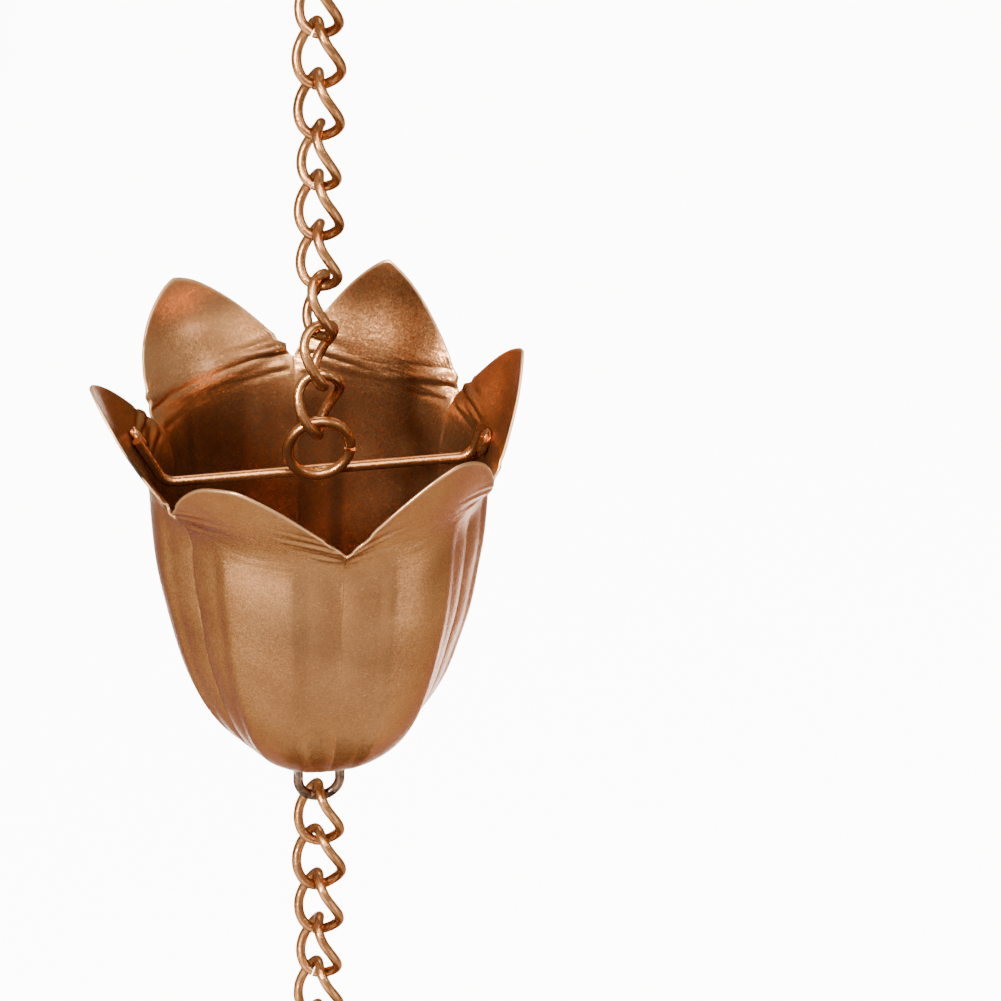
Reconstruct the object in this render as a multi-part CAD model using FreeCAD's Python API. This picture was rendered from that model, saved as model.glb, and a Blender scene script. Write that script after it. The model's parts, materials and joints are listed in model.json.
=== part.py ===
import FreeCAD, Part
import math
import os

# Sheet cup: sizes are on the outer face, heights count from the ring of notches between the petals.
CUP_DEPTH = 78.0
WAIST_DROP = 12.0
WAIST_RADIUS = 33.9
LOBE_HEIGHT = 1.5
BEND_LENGTH = 14.0
SHEET = 0.6
DRAIN_RADIUS = 2.5
WALL_TAPER = 0.12
WALL_FULLNESS = 0.7

# A raised panel runs up each petal's wall: its height, and where its flanks end and start from the middle.
PANEL_HEIGHT = 0.9
PANEL_FOOT_DEG = 18.0
PANEL_TOP_DEG = 11.0

# Lobes and panels fade into the round bottom between these two angles of the wall's curve.
FADE_START_DEG = 8.0
FADE_END_DEG = 48.0

# The petals, bent and cut by hand, from the right one towards the back: how far each one's middle leans from
# the vertical, how far it reaches above the notches, and how full its left and right side are (1 is straight).
PETAL_LEANS_DEG = (17.0, 11.0, 33.0, 27.0, 26.0, 22.0)
PETAL_LENGTHS = (22.5, 24.5, 22.5, 23.5, 22.0, 22.0)
PETAL_FULLNESSES = ((1.15, 1.4), (1.3, 1.3), (1.4, 1.4), (1.4, 1.15), (2.0, 1.35), (1.4, 1.7))

# Lean at the notches, and how closely it keeps to them.
NOTCH_LEAN_DEG = 48.0
NOTCH_LEAN_POWER = 4

# Crossbar: a wire below the notches, its ends turned up along the right and left petals to these heights.
BAR_WIRE = 2.3
BAR_DROP = 6.2
BAR_BEND_RADIUS = 4.0
BAR_RIGHT_TIP = 1.0
BAR_LEFT_TIP = 5.0

# Hanger ring, welded to the front of the crossbar, its foot a little above it. Both are turned in the cup.
RING_WIRE = 2.4
RING_OUTER = 15.8
RING_LIFT = 0.5
RING_SEAM = 0.8
RING_SEAM_DEG = 232.0
BAR_TURN_DEG = -5.0

# Eye under the cup.
EYE_WIRE = 2.2
EYE_WIDTH = 11.4
EYE_DROP = 14.0

# Links: an oval of round wire with a quarter twist and a butted seam beside its foot.
LINK_WIRE = 2.2
LINK_LENGTH = 17.0
LINK_WIDTH = 13.0
LINK_TWIST_DEG = 90.0
LINK_SEAM_DEG = 2.5
LINK_SEAM_PLACE_DEG = -14.0
LINK_SPANS = 7

# Clearances: between wires that hang in one another, and at welds.
HANG_PLAY = 0.3
WELD_GAP = 0.3

# Layout from the top: how far each link is turned about the chain, and each cup.
STUB_TURNS_DEG = (0.0, -30.0, -60.0, -88.0)
RUN_TURNS_DEG = (5.0, 17.0, 4.0, -6.0, 7.0, 0.0, -14.0, -2.0, -10.0, -34.0, -62.0, -88.0)
TAIL_TURNS_DEG = (5.0, 17.0, 4.0)
CUP_TURN_DEG = 10.0
CUP_COUNT = 4

# Strips across each petal, points along each strip's edge, and the most that two strips' edges may differ.
PETAL_STRIPS = 12
PETAL_ROWS = 22
SEAM_TOLERANCE = 0.01

# Halvings that find where the wall has a given radius, and the step that takes a slope on a curve.
HALVINGS = 60
SLOPE_STEP = 1e-4

PETAL_COUNT = len(PETAL_LEANS_DEG)
HALF_PETAL = math.pi / PETAL_COUNT
WALL_HEIGHT = CUP_DEPTH - WAIST_DROP
LINK_HALF_LENGTH = (LINK_LENGTH - LINK_WIRE) / 2
LINK_HALF_WIDTH = (LINK_WIDTH - LINK_WIRE) / 2
RING_RADIUS = (RING_OUTER - RING_WIRE) / 2
EYE_RADIUS = (EYE_WIDTH - EYE_WIRE) / 2
BAR_HEIGHT = -BAR_DROP
BAR_BACK = (RING_WIRE + BAR_WIRE) / 2 + WELD_GAP
RING_HEIGHT = BAR_HEIGHT + RING_LIFT + RING_RADIUS
RING_TOP = RING_HEIGHT + RING_RADIUS
EYE_FOOT = -CUP_DEPTH - EYE_DROP + EYE_WIRE / 2

X_AXIS = FreeCAD.Vector(1, 0, 0)
Y_AXIS = FreeCAD.Vector(0, 1, 0)
Z_AXIS = FreeCAD.Vector(0, 0, 1)


def smooth_step(value, start, end):
    """0 before start, 1 after end, and a smooth rise between them."""
    share = min(max((value - start) / (end - start), 0.0), 1.0)
    return share * share * (3 - 2 * share)


def wall_radius(angle):
    """Radius of the cup's wall in a notch line: angle is 0 at the bottom, a right angle at the waist."""
    round_part = (1 - WALL_TAPER) * math.sin(angle) ** WALL_FULLNESS
    return WAIST_RADIUS * (round_part + WALL_TAPER * (1 - math.cos(angle)))


def wall_height(angle):
    """Height of the cup's wall at an angle of its curve."""
    return -WAIST_DROP - WALL_HEIGHT * math.cos(angle)


def wall_angle(radius):
    """Angle of the wall's curve at which it has a radius."""
    low = 0.0
    high = math.pi / 2
    for _ in range(HALVINGS):
        middle = (low + high) / 2
        if wall_radius(middle) < radius:
            low = middle
        else:
            high = middle
    return high


DRAIN_ANGLE = wall_angle(DRAIN_RADIUS)
WALL_RUN = WALL_HEIGHT * (math.pi / 2 - DRAIN_ANGLE)
WAIST_LEAN = math.atan(WALL_TAPER * WAIST_RADIUS / WALL_HEIGHT)
NOTCH_RISE = WAIST_DROP / math.cos(WAIST_LEAN)


def petal_meridian(rise, lean):
    """Radius and height of the bent-out sheet, rise millimetres along it above the waist."""
    bend_radius = BEND_LENGTH / (lean - WAIST_LEAN)
    bend = min(rise, BEND_LENGTH)
    straight = rise - bend
    angle = WAIST_LEAN + bend / bend_radius
    radius = WAIST_RADIUS + bend_radius * (math.cos(WAIST_LEAN) - math.cos(angle))
    height = -WAIST_DROP + bend_radius * (math.sin(angle) - math.sin(WAIST_LEAN))
    return radius + straight * math.sin(angle), height + straight * math.cos(angle)


def lobe(offset):
    """Share of the lobe's height at an angle from a petal's middle: 1 there, 0 in the notch lines."""
    flat = math.cos(HALF_PETAL)
    return (1 - flat / math.cos(offset)) / (1 - flat)


def panel(offset):
    """Share of the panel's height at an angle from a petal's middle."""
    return 1 - smooth_step(math.degrees(abs(offset)), PANEL_TOP_DEG, PANEL_FOOT_DEG)


def cup_point(petal, offset, share):
    """Point of the cup's outer face.

    petal counts the petals, offset is the angle from the petal's middle, and share runs from 0 at
    the drain hole to 1 at the petal's edge.
    """
    across = abs(offset) / HALF_PETAL
    own_lean = PETAL_LEANS_DEG[petal] - NOTCH_LEAN_DEG
    lean = math.radians(NOTCH_LEAN_DEG + own_lean * (1 - across ** NOTCH_LEAN_POWER))
    left_fullness, right_fullness = PETAL_FULLNESSES[petal]
    edge = PETAL_LENGTHS[petal] * (1 - across ** (right_fullness if offset > 0 else left_fullness))
    length = share * (WALL_RUN + NOTCH_RISE + edge)
    if length < WALL_RUN:
        angle = DRAIN_ANGLE + length / WALL_HEIGHT
        radius = wall_radius(angle)
        height = wall_height(angle)
        fade = smooth_step(math.degrees(angle), FADE_START_DEG, FADE_END_DEG)
        panel_fade = fade
    else:
        radius, height = petal_meridian(length - WALL_RUN, lean)
        fade = 1.0
        panel_fade = 1 - smooth_step(length - WALL_RUN, 0.0, NOTCH_RISE)
    radius += fade * LOBE_HEIGHT * lobe(offset) + panel_fade * PANEL_HEIGHT * panel(offset)
    azimuth = 2 * HALF_PETAL * petal + offset
    return FreeCAD.Vector(radius * math.cos(azimuth), radius * math.sin(azimuth), height)


def inner_point(petal, offset, share):
    """Point of the cup's inner face, one sheet thickness in from the outer face."""
    left = max(offset - SLOPE_STEP, -HALF_PETAL)
    right = min(offset + SLOPE_STEP, HALF_PETAL)
    across = cup_point(petal, right, share) - cup_point(petal, left, share)
    low = max(share - SLOPE_STEP, 0.0)
    high = min(share + SLOPE_STEP, 1.0)
    along = cup_point(petal, offset, high) - cup_point(petal, offset, low)
    normal = across.cross(along)
    if abs(offset) > HALF_PETAL - SLOPE_STEP:
        azimuth = 2 * HALF_PETAL * petal + offset
        sideways = FreeCAD.Vector(-math.sin(azimuth), math.cos(azimuth), 0)
        normal = normal - sideways * normal.dot(sideways)
    return cup_point(petal, offset, share) - normal.normalize() * SHEET


def meridian_points(petal, strip, point):
    """Points of the outer or inner face along one strip's edge, from the drain hole to the petal's edge."""
    offset = HALF_PETAL * (2 * strip / PETAL_STRIPS - 1)
    return [point(petal, offset, row / (PETAL_ROWS - 1)) for row in range(PETAL_ROWS)]


def curve(points):
    """A smooth edge through points."""
    line = Part.BSplineCurve()
    line.interpolate(points)
    return line.toShape()


def rim_face(outer, inner, end):
    """The sheet's cut edge across one strip: end is 0 at the drain hole and -1 at the petal's edge."""
    edges = [Part.makeLine(points[0][end], points[1][end]) for points in (outer, inner)]
    return Part.makeRuledSurface(edges[0], edges[1])


def cup():
    """The flower cup: one thin sheet in narrow strips, closed along the petals and round the drain hole."""
    skins = []
    for point in (cup_point, inner_point):
        columns = []
        for petal in range(PETAL_COUNT):
            columns += [meridian_points(petal, strip, point) for strip in range(PETAL_STRIPS)]
        skins.append(list(zip(columns, columns[1:] + columns[:1])))
    faces = []
    for outer, inner in zip(skins[0], skins[1]):
        faces.append(Part.makeRuledSurface(curve(outer[0]), curve(outer[1])))
        faces.append(Part.makeRuledSurface(curve(inner[0]), curve(inner[1])))
        faces.append(rim_face(outer, inner, 0))
        faces.append(rim_face(outer, inner, -1))
    shell = Part.makeShell(faces)
    shell.sewShape(SEAM_TOLERANCE)
    solid = Part.makeSolid(shell)
    if solid.Volume < 0:
        solid.reverse()
    return solid


def straight_wire(start, end, radius):
    """Round wire along a straight line."""
    run = end - start
    return Part.makeCylinder(radius, run.Length, start, run)


def bent_wire(start, tangent, end, radius):
    """Round wire along the circular arc that leaves start along tangent and reaches end."""
    chord = end - start
    axis = tangent.cross(chord).normalize()
    half_turn = tangent.getAngle(chord)
    bend_radius = chord.Length / (2 * math.sin(half_turn))
    centre = start + axis.cross(tangent) * bend_radius
    disc = Part.Face(Part.Wire(Part.makeCircle(radius, start, tangent)))
    return disc.revolve(centre, axis, math.degrees(2 * half_turn))


def joined(pieces):
    """Pieces of one wire as one solid."""
    return pieces[0].multiFuse(pieces[1:]).removeSplitter().Solids[0]


def placed(shape, height, turn_deg):
    """A copy of a shape, turned about the chain and set at a height."""
    copy = shape.copy()
    copy.Placement = FreeCAD.Placement(FreeCAD.Vector(0, 0, height), FreeCAD.Rotation(Z_AXIS, turn_deg))
    return copy


def bar_away(petal, height):
    """How far out the crossbar's turned-up end lies at a height, flat against the inside of a petal."""
    lean = math.radians(PETAL_LEANS_DEG[petal])
    radius, bend_top = petal_meridian(BEND_LENGTH, lean)
    inward = SHEET + WELD_GAP + BAR_WIRE / 2
    return radius + LOBE_HEIGHT - inward / math.cos(lean) + (height - bend_top) * math.tan(lean)


def bar_end(petal, side, tip_height):
    """The two ends of the crossbar's bend, and its tip, on the side (-1 or 1) of a petal."""
    lean = math.radians(PETAL_LEANS_DEG[petal])
    trim = BAR_BEND_RADIUS * math.tan((math.pi / 2 - lean) / 2)
    raised_height = BAR_HEIGHT + trim * math.cos(lean)
    level = FreeCAD.Vector(side * (bar_away(petal, BAR_HEIGHT) - trim), BAR_BACK, BAR_HEIGHT)
    raised = FreeCAD.Vector(side * bar_away(petal, raised_height), BAR_BACK, raised_height)
    tip = FreeCAD.Vector(side * bar_away(petal, tip_height), BAR_BACK, tip_height)
    return level, raised, tip


def crossbar():
    """The wire across the mouth, from the right petal to the left one."""
    right_level, right_raised, right_tip = bar_end(0, 1, BAR_RIGHT_TIP)
    left_level, left_raised, left_tip = bar_end(PETAL_COUNT // 2, -1, BAR_LEFT_TIP)
    radius = BAR_WIRE / 2
    bar = joined([
        straight_wire(left_level, right_level, radius),
        bent_wire(right_level, X_AXIS, right_raised, radius),
        straight_wire(right_raised, right_tip, radius),
        bent_wire(left_level, -X_AXIS, left_raised, radius),
        straight_wire(left_raised, left_tip, radius),
    ])
    return placed(bar, 0, BAR_TURN_DEG)


def hanger_ring():
    """The ring in front of the crossbar, open by its seam at the lower left."""
    seam = math.degrees(RING_SEAM / RING_RADIUS)
    centre = FreeCAD.Vector(0, 0, RING_HEIGHT)
    start = centre + FreeCAD.Vector(RING_RADIUS, 0, 0)
    disc = Part.Face(Part.Wire(Part.makeCircle(RING_WIRE / 2, start, Z_AXIS)))
    ring = disc.revolve(centre, -Y_AXIS, 360 - seam)
    ring.rotate(centre, -Y_AXIS, RING_SEAM_DEG + seam / 2)
    ring.rotate(centre, Z_AXIS, BAR_TURN_DEG)
    return ring


def bottom_eye():
    """The wire loop under the cup, its two legs standing against the bottom."""
    radius = EYE_WIRE / 2
    bow_height = EYE_FOOT + EYE_RADIUS
    top = wall_height(wall_angle(EYE_RADIUS - radius)) - WELD_GAP
    legs = []
    for side in (-1, 1):
        foot = FreeCAD.Vector(side * EYE_RADIUS, 0, bow_height)
        legs.append(straight_wire(foot, FreeCAD.Vector(side * EYE_RADIUS, 0, top), radius))
    start = FreeCAD.Vector(EYE_RADIUS, 0, bow_height)
    disc = Part.Face(Part.Wire(Part.makeCircle(radius, start, Z_AXIS)))
    bow = disc.revolve(FreeCAD.Vector(0, 0, bow_height), Y_AXIS, 180)
    return joined([bow] + legs)


def link_point(turn):
    """Point of a link's centre line, turn radians round the loop from its foot."""
    twist = -math.radians(LINK_TWIST_DEG) * (1 - math.cos(turn)) / 2
    reach = LINK_HALF_WIDTH * math.sin(turn)
    height = -LINK_HALF_LENGTH * math.cos(turn)
    return FreeCAD.Vector(reach * math.cos(twist), reach * math.sin(twist), height)


def link_tangent(turn):
    """Direction of a link's centre line."""
    return (link_point(turn + SLOPE_STEP) - link_point(turn - SLOPE_STEP)).normalize()


def link():
    """A twisted link round its own centre: its foot lies along X and its head along Y."""
    first = math.radians(LINK_SEAM_PLACE_DEG + LINK_SEAM_DEG / 2)
    span = (2 * math.pi - math.radians(LINK_SEAM_DEG)) / LINK_SPANS
    pieces = []
    for index in range(LINK_SPANS):
        start = link_point(first + index * span)
        end = link_point(first + (index + 1) * span)
        leaving = link_tangent(first + index * span)
        arriving = link_tangent(first + (index + 1) * span)
        chord = end - start
        spread = 2 * (1 - leaving.dot(arriving))
        along = chord.dot(leaving + arriving)
        reach = (math.sqrt(along * along + spread * chord.dot(chord)) - along) / spread
        middle = (start + end + (leaving - arriving) * reach) * 0.5
        pieces.append(bent_wire(start, leaving, middle, LINK_WIRE / 2))
        pieces.append(bent_wire(end, -arriving, middle, LINK_WIRE / 2))
    return joined(pieces)


def layout():
    """Every link and cup from the top down: name, kind, height of its origin and turn about the chain."""
    rows = []
    hook = LINK_WIRE / 2
    runs = [("stub_link_{}", STUB_TURNS_DEG)]
    for cup_number in range(1, CUP_COUNT):
        letter = chr(ord("a") + cup_number - 1)
        runs.append(("run_" + letter + "_link_{:02d}", RUN_TURNS_DEG))
    runs.append(("tail_link_{}", TAIL_TURNS_DEG))
    for cup_number, (name, turns) in enumerate(runs):
        for number, turn_deg in enumerate(turns, start=1):
            rows.append((name.format(number), "link", hook - LINK_HALF_LENGTH, turn_deg))
            hook += LINK_WIRE + HANG_PLAY - 2 * LINK_HALF_LENGTH
        if cup_number < CUP_COUNT:
            hook += (RING_WIRE - LINK_WIRE) / 2
            origin = hook - RING_TOP
            rows.append(("cup_{}".format(cup_number + 1), "cup", origin, CUP_TURN_DEG))
            hook = origin + EYE_FOOT + (EYE_WIRE + LINK_WIRE) / 2 + HANG_PLAY
    return rows


def main():
    """Builds every piece and writes it to its own file."""
    os.makedirs("parts", exist_ok=True)
    link_shape = link()
    cup_shapes = {
        "cup": cup(),
        "crossbar": crossbar(),
        "hanger_ring": hanger_ring(),
        "bottom_eye": bottom_eye(),
    }
    for name, kind, height, turn_deg in layout():
        if kind == "link":
            placed(link_shape, height, turn_deg).exportStep("parts/{}.step".format(name))
        else:
            number = name.split("_")[1]
            for piece, shape in cup_shapes.items():
                placed(shape, height, turn_deg).exportStep("parts/{}_{}.step".format(piece, number))


main()
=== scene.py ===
"""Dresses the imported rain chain: sheet cups with bent petals, welds, flake paint and a plain studio."""

import json
import logging
import math
from dataclasses import dataclass
from enum import Enum
from typing import Any

import bpy
import numpy as np
from mathutils import Matrix, Vector


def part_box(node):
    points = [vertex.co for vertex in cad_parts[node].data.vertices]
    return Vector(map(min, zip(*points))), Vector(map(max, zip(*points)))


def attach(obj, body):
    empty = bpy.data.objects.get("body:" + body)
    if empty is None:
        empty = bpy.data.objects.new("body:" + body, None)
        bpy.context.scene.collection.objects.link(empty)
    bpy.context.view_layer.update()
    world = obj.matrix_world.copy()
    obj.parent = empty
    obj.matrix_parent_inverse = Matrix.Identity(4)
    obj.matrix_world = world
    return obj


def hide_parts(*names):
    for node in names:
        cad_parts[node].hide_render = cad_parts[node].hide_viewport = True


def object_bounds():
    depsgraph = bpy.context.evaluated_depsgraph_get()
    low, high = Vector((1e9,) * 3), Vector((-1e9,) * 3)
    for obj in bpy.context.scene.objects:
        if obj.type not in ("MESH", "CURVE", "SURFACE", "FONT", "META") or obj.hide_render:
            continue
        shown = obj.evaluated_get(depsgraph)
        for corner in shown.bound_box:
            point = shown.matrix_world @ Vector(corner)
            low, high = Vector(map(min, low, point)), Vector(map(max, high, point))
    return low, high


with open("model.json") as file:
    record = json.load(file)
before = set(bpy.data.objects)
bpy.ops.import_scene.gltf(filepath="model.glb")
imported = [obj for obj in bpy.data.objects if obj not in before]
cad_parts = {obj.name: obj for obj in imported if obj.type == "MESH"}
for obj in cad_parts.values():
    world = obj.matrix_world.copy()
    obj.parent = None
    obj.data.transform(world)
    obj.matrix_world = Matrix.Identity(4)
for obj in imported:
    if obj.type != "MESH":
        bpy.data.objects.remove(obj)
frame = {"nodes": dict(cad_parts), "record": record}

CAD_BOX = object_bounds()
MM = 0.001
CUP_COUNT = 4
CLOSE_UP_CUP = 2
SIDES = (-1, 1)

# Sockets of Blender's colour mix node, which go by number because several share a name.
MIX_FACTOR, MIX_UNDER, MIX_OVER, MIX_RESULT = 0, 6, 7, 2
# The mean of the random colours that a Voronoi texture gives its cells.
MEAN_FLAKE = (0.5, 0.5, 0.5)

# Smooth unevenness: how many waves make it, their spread of lengths and what brings its peaks to about 1.
RIPPLE_WAVES = 9
RIPPLE_LENGTHS = (0.6, 1.6)
RIPPLE_PEAK = 1.6

# Steps in which the wall's curve is searched for a radius.
WALL_STEPS = 200001
SHORTEST_NORMAL = 1e-9

Tree = bpy.types.NodeTree
Socket = bpy.types.NodeSocket
Span = tuple[float, float]
Triple = tuple[float, float, float]

log = logging.getLogger("rain_chain")


class Slot(Enum):
    """The record's finishes."""

    CUP = "cup_paint"
    WIRE = "wire_paint"
    EYE = "eye_wire"


class Mark(Enum):
    """What the sheet's mesh tells its paint about each point."""

    # The rim mark carries a painted highlight along the petals' cut edges.
    RIM_HIGHLIGHT = "rim"
    # The fold mark carries painted shade wherever the sheet is pushed in: folds, creases and dents.
    FOLD_SHADE = "fold"
    CHIP = "chip"
    CRUMPLE = "crumple"


class Seed(Enum):
    """Where each kind of chance starts; the cup's number is added, so that no two cups are alike."""

    CREASES = 20
    DENTS = 40
    CHIPS = 60
    CUT = 70
    BEADS = 90
    NIBS = 150


def linear(hex_colour: str) -> tuple[float, float, float, float]:
    """Turns an sRGB hex colour into linear values, by the curve of the sRGB standard.

    Args:
        hex_colour: Six hex digits after a hash sign.

    Returns:
        Red, green and blue in linear light, and an alpha of 1.
    """
    shares = [int(hex_colour[i:i + 2], 16) / 255 for i in (1, 3, 5)]
    red, green, blue = (s / 12.92 if s <= 0.04045 else ((s + 0.055) / 1.055) ** 2.4 for s in shares)
    return red, green, blue, 1.0


def add_node(tree: Tree, kind: str, links: dict[Any, Any] | None = None, **settings: Any) -> bpy.types.Node:
    """Adds one shader node with its settings and links.

    Args:
        tree: The material's node tree.
        kind: The node's Blender type, without its "ShaderNode" prefix.
        links: Input socket, by name or number, to the output socket or the value that it takes.
        settings: Properties of the node.

    Returns:
        The new node.
    """
    made = tree.nodes.new("ShaderNode" + kind)
    for name, value in settings.items():
        setattr(made, name, value)
    for socket, source in (links or {}).items():
        if isinstance(source, bpy.types.NodeSocket):
            tree.links.new(source, made.inputs[socket])
        else:
            made.inputs[socket].default_value = source
    return made


def colour_ramp(tree: Tree, factor: Socket, stops: list[tuple[float, str]]) -> Socket:
    """Maps a value to colours.

    Args:
        tree: The material's node tree.
        factor: The value.
        stops: Places from 0 to 1 and their hex colours, in order.

    Returns:
        The colour socket.
    """
    ramp = add_node(tree, "ValToRGB", {"Fac": factor})
    elements = ramp.color_ramp.elements
    while len(elements) < len(stops):
        elements.new(0.5)
    for element, (place, hex_colour) in zip(elements, stops):
        element.position = place
        element.color = linear(hex_colour)
    return ramp.outputs["Color"]


def mix_over(tree: Tree, film: Socket, factor: Socket, hex_colour: str) -> Socket:
    """Lays a colour over a film where a factor says so.

    Args:
        tree: The material's node tree.
        film: The colour underneath.
        factor: How far the new colour covers it, from 0 to 1.
        hex_colour: The new colour.

    Returns:
        The colour socket.
    """
    links = {MIX_FACTOR: factor, MIX_UNDER: film, MIX_OVER: linear(hex_colour)}
    return add_node(tree, "Mix", links, data_type="RGBA").outputs[MIX_RESULT]


def new_material(name: str) -> tuple[bpy.types.Material, Tree, bpy.types.Node]:
    """Makes an empty node material.

    Args:
        name: The material's name.

    Returns:
        The material, its tree and its principled shader.
    """
    made = bpy.data.materials.new(name)
    made.use_nodes = True
    return made, made.node_tree, made.node_tree.nodes["Principled BSDF"]


def set_material(obj: bpy.types.Object, finish: bpy.types.Material) -> None:
    """Gives an object one finish all over.

    Args:
        obj: The object.
        finish: Its finish.
    """
    obj.data.materials.clear()
    obj.data.materials.append(finish)


@dataclass(frozen=True)
class FlakePaint:
    """Copper-bronze metallic paint, sprayed: mica flakes in a tinted binder.

    The flakes lie nearly flat, so the film mirrors like satin metal, and the few that stand askew sparkle.
    """

    name: str
    light_hex: str
    mid_hex: str
    deep_hex: str
    roughness: float
    cloud_mm: float = 16.0
    cloud_detail: float = 4.0
    cloud_roughness: float = 0.6
    tone_stops: Triple = (0.3, 0.5, 0.72)
    flake_mm: float = 0.3
    flake_lift: Span = (0.86, 1.14)
    glint_from: float = 0.96
    glint_gain: float = 1.5
    flake_tilt: float = 0.12
    orange_peel_mm: float = 1.3
    orange_peel_detail: float = 2.0
    orange_peel_height_mm: float = 0.012
    grazing_hex: str = "#B48A64"
    flake_share: float = 0.95
    binder: float = 0.15
    binder_roughness: float = 0.2

    def colour(self, tree: Tree, place: Socket) -> tuple[Socket, Socket]:
        """Makes the paint's colour and the random value of each flake.

        Args:
            tree: The material's node tree.
            place: Object coordinates in metres.

        Returns:
            The colour socket and the flakes' random colour socket.
        """
        cloud = add_node(tree, "TexNoise", {"Vector": place, "Scale": 1 / (self.cloud_mm * MM),
                                            "Detail": self.cloud_detail, "Roughness": self.cloud_roughness})
        hexes = (self.deep_hex, self.mid_hex, self.light_hex)
        film = colour_ramp(tree, cloud.outputs["Fac"], list(zip(self.tone_stops, hexes)))
        # Real flakes are near 0.05 mm: they are drawn several times coarser, so that they show in the picture.
        cells = add_node(tree, "TexVoronoi", {"Vector": place, "Scale": 1 / (self.flake_mm * MM)})
        flakes = cells.outputs["Color"]
        chances = add_node(tree, "SeparateColor", {"Color": flakes}).outputs
        dim, bright = self.flake_lift
        lift = add_node(tree, "MapRange", {"Value": chances["Red"], "To Min": dim, "To Max": bright})
        glint = add_node(tree, "MapRange", {"Value": chances["Green"], "From Min": self.glint_from,
                                            "To Min": 1.0, "To Max": self.glint_gain})
        both = add_node(tree, "Math", {0: lift.outputs["Result"], 1: glint.outputs["Result"]},
                        operation="MULTIPLY")
        lifted = add_node(tree, "VectorMath", {0: film, "Scale": both.outputs["Value"]}, operation="SCALE")
        return lifted.outputs["Vector"], flakes

    def normal(self, tree: Tree, place: Socket, flakes: Socket) -> Socket:
        """Tilts each flake a little and adds the spray's orange peel.

        Args:
            tree: The material's node tree.
            place: Object coordinates in metres.
            flakes: The flakes' random colour socket.

        Returns:
            The normal socket.
        """
        peel = add_node(tree, "TexNoise", {"Vector": place, "Scale": 1 / (self.orange_peel_mm * MM),
                                           "Detail": self.orange_peel_detail})
        bump = add_node(tree, "Bump", {"Height": peel.outputs["Fac"], "Strength": 1.0,
                                       "Distance": self.orange_peel_height_mm * MM})
        askew = add_node(tree, "VectorMath", {0: flakes, 1: MEAN_FLAKE}, operation="SUBTRACT")
        tilt = add_node(tree, "VectorMath", {0: askew.outputs["Vector"], "Scale": self.flake_tilt},
                        operation="SCALE")
        leaning = add_node(tree, "VectorMath", {0: bump.outputs["Normal"], 1: tilt.outputs["Vector"]},
                           operation="ADD")
        return add_node(tree, "VectorMath", {0: leaning.outputs["Vector"]}, operation="NORMALIZE").outputs["Vector"]

    def tone(self, tree: Tree, place: Socket, film: Socket) -> Socket:
        """Adds nothing to the colour: plain wire shows the paint alone.

        Args:
            tree: The material's node tree; not used here.
            place: Object coordinates in metres; not used here.
            film: The paint's colour socket.

        Returns:
            The colour socket.
        """
        return film

    def relief(self, tree: Tree, place: Socket, normal: Socket) -> Socket:
        """Adds nothing to the surface: drawn wire is even under its paint.

        Args:
            tree: The material's node tree; not used here.
            place: Object coordinates in metres; not used here.
            normal: The paint's normal socket.

        Returns:
            The normal socket.
        """
        return normal

    def gloss(self, shader: bpy.types.Node) -> None:
        """Sets the flakes' metal shine, the dull binder between them and its own paler shine over it.

        Args:
            shader: The material's principled shader.
        """
        shader.inputs["Metallic"].default_value = self.flake_share
        shader.inputs["Specular Tint"].default_value = linear(self.grazing_hex)
        shader.inputs["Roughness"].default_value = self.roughness
        shader.inputs["Coat Weight"].default_value = self.binder
        shader.inputs["Coat Roughness"].default_value = self.binder_roughness

    def material(self) -> bpy.types.Material:
        """Makes the finish.

        Returns:
            The material.
        """
        made, tree, shader = new_material(self.name)
        place = add_node(tree, "TexCoord").outputs["Object"]
        film, flakes = self.colour(tree, place)
        tree.links.new(self.tone(tree, place, film), shader.inputs["Base Color"])
        normal = self.normal(tree, place, flakes)
        tree.links.new(self.relief(tree, place, normal), shader.inputs["Normal"])
        self.gloss(shader)
        return made


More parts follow.
